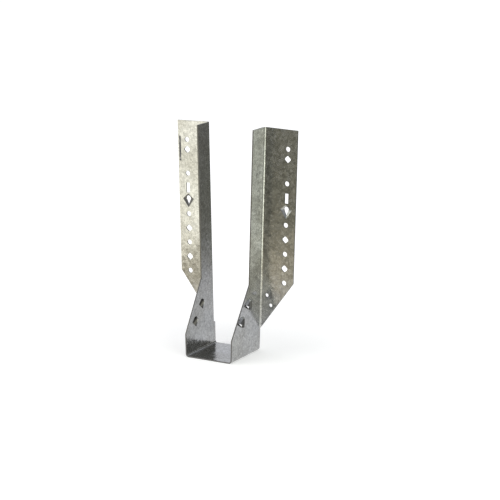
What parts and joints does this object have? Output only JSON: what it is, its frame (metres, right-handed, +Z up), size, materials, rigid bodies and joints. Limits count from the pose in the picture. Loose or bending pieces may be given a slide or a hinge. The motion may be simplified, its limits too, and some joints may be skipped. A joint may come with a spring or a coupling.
{
  "type": "joist hanger",
  "caption": "Folded galvanised steel U hanger that seats a timber joist against a header, with nailed face flanges, a flared seat and slant-nail domes.",
  "frame": {"origin": "centre of the bounding box at its bottom: midway between the panels, on the underside of the seat, half the seat depth in front of the header plane", "axes": "+Z up along the header, +Y towards the header, -Y towards the incoming joist, +X to the right as the hanger is seen from the joist side"},
  "size_m": [0.1254, 0.0525, 0.2099],
  "materials": {
    "galvanised_steel": "galvanised, mottled spangle"
  },
  "bodies": {
    "root": {"hanger": "galvanised_steel"}
  },
  "joints": []
}
